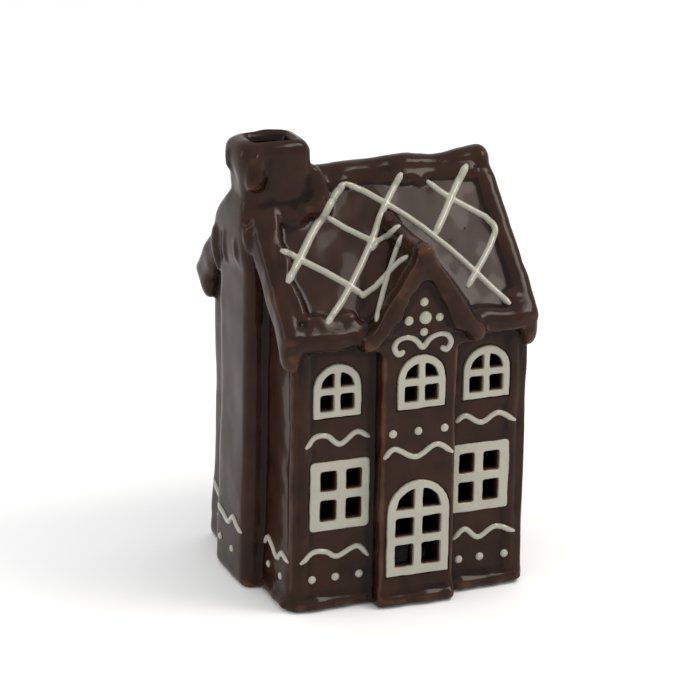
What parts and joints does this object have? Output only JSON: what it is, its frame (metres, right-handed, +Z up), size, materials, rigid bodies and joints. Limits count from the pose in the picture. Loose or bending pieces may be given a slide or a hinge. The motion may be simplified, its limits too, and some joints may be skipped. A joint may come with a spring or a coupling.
{
  "type": "ceramic gingerbread house tealight lantern",
  "caption": "Hollow glazed ceramic house in dark brown with raised white icing lines, pierced windows and door, a small front gable and a side chimney, to stand over a tealight",
  "frame": {"origin": "under the middle of the object's box, on the surface that it stands on", "axes": "+Z up to the chimney top; -Y is the front with the door and the small gable; +X is the right side seen from the front; the chimney stands on the left side, at -X"},
  "size_m": [0.1084, 0.1072, 0.1767],
  "materials": {
    "brown_glaze": "high gloss",
    "white_glaze": "gloss"
  },
  "bodies": {
    "root": {"ceramic_house": "brown_glaze"}
  },
  "joints": []
}
